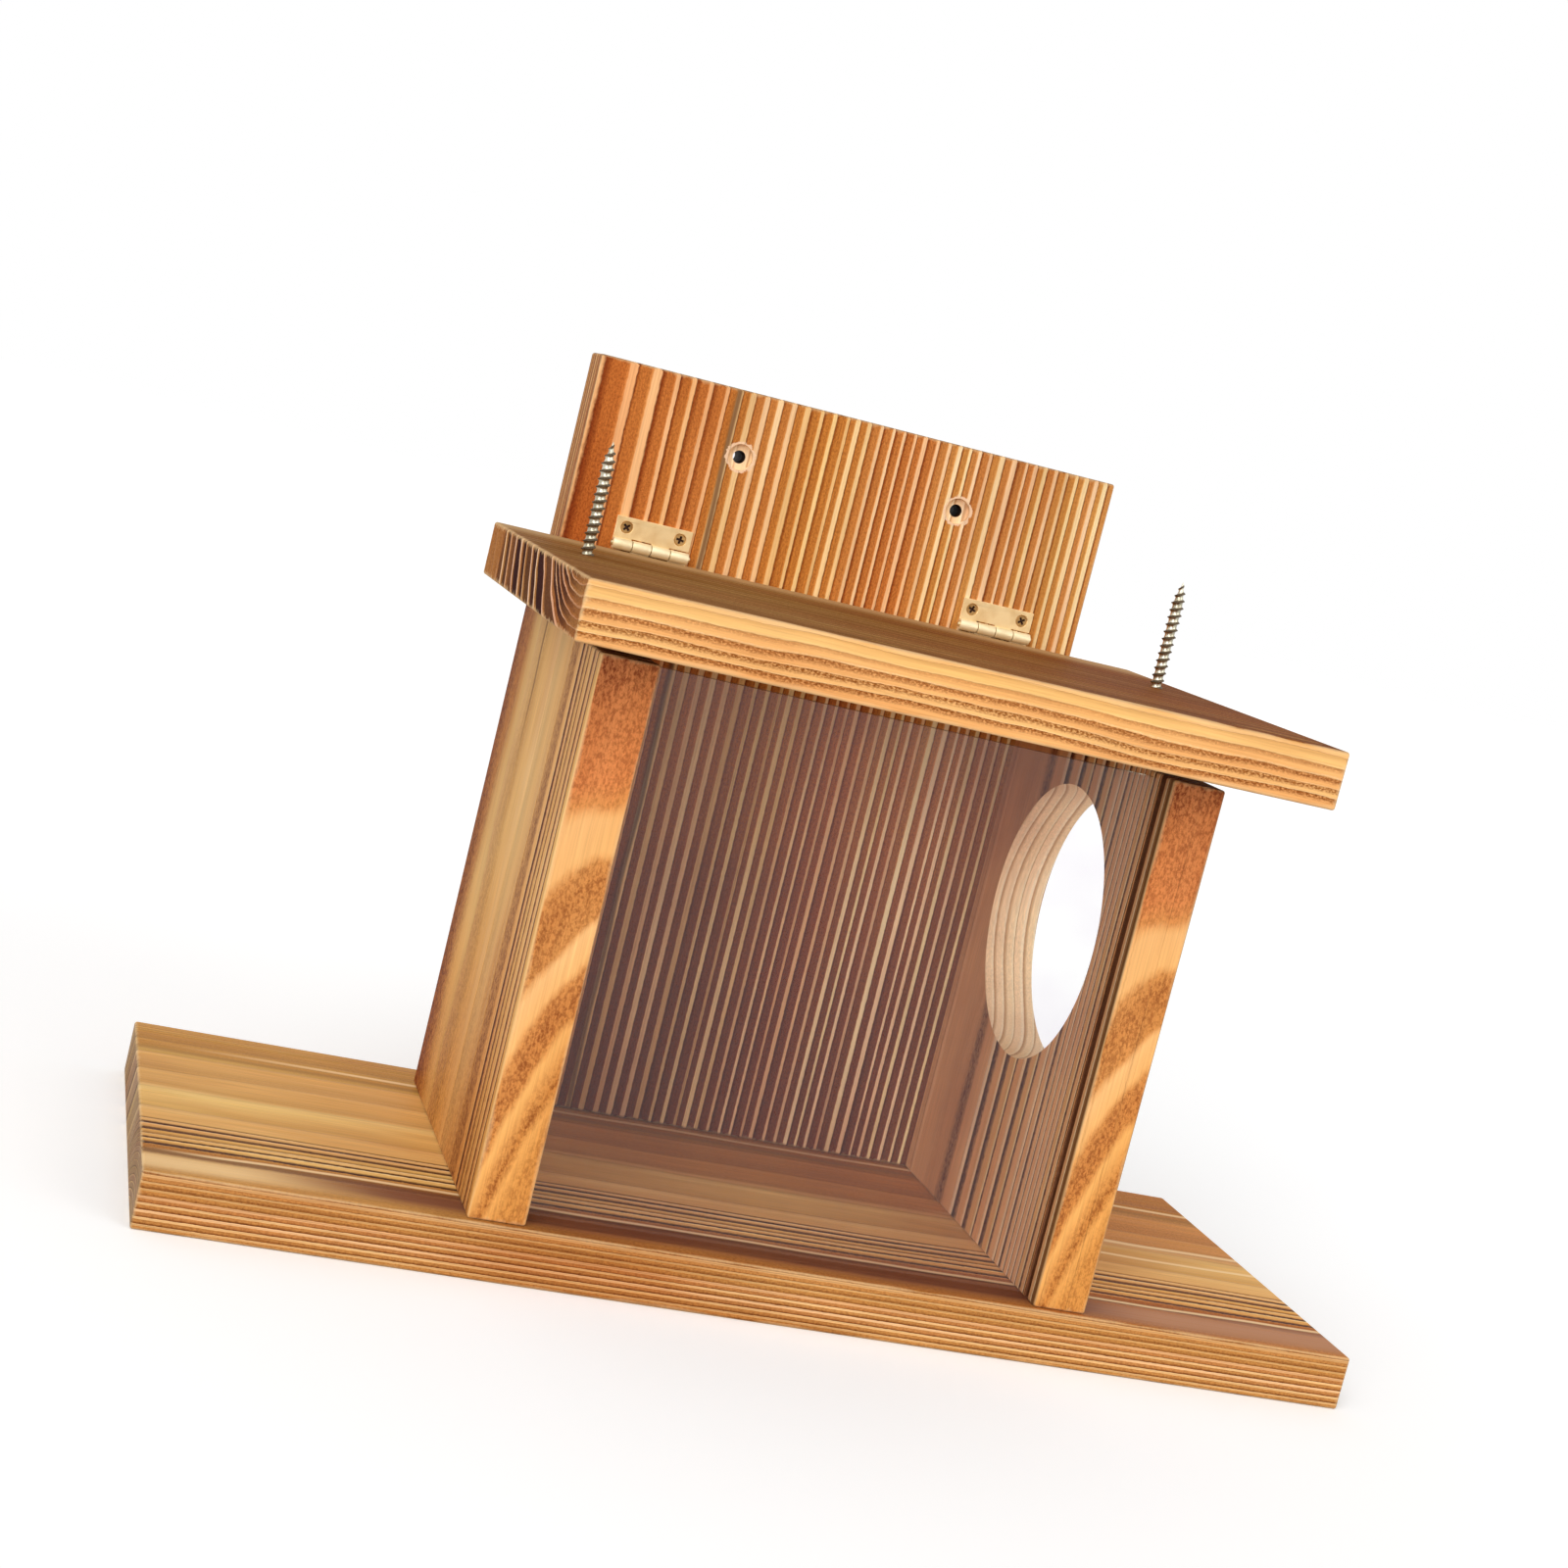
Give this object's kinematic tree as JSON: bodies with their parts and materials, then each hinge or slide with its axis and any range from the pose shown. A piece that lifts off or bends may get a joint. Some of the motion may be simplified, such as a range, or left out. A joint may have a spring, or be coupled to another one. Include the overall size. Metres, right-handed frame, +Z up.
{
  "type": "wall feeder box",
  "caption": "Wooden wall feeder: a clear-fronted box on a long base with end porches, a round side entrance, a hinged overhanging lid with upright cob screws, and a tall hanging board.",
  "frame": {"origin": "middle of the underside of the base, below the middle of the whole object's depth", "axes": "+X to the right seen from the front, +Y towards the wall, +Z up"},
  "size_m": [0.35, 0.175, 0.2463],
  "materials": {
    "fir": "carbonised, brushed",
    "acrylic": "clear",
    "brass": "plated, satin",
    "pin_steel": "plain",
    "brassed_screw": "plated",
    "zinc_steel": "zinc plated"
  },
  "bodies": {
    "house": {"base_board": "fir", "back_board": "fir", "left_side_panel": "fir", "right_side_panel": "fir", "front_pane": "acrylic", "left_hinge_wall_leaf": "brass", "right_hinge_wall_leaf": "brass", "left_hinge_pin": "pin_steel", "right_hinge_pin": "pin_steel", "left_hinge_wall_screws": "brassed_screw", "right_hinge_wall_screws": "brassed_screw", "left_base_screws": "zinc_steel", "right_base_screws": "zinc_steel", "back_base_screws": "zinc_steel", "left_back_screws": "zinc_steel", "right_back_screws": "zinc_steel"},
    "lid": {"lid_board": "fir", "left_hinge_lid_leaf": "brass", "right_hinge_lid_leaf": "brass", "left_hinge_lid_screws": "brassed_screw", "right_hinge_lid_screws": "brassed_screw", "left_cob_screw": "zinc_steel", "right_cob_screw": "zinc_steel"}
  },
  "joints": [
    {"name": "lid_hinge", "type": "hinge", "parent": "house", "child": "lid", "pos_m": [0, 0.06945, 0.19235], "axis": [-1, 0, 0], "range_deg": [0, 92]}
  ]
}
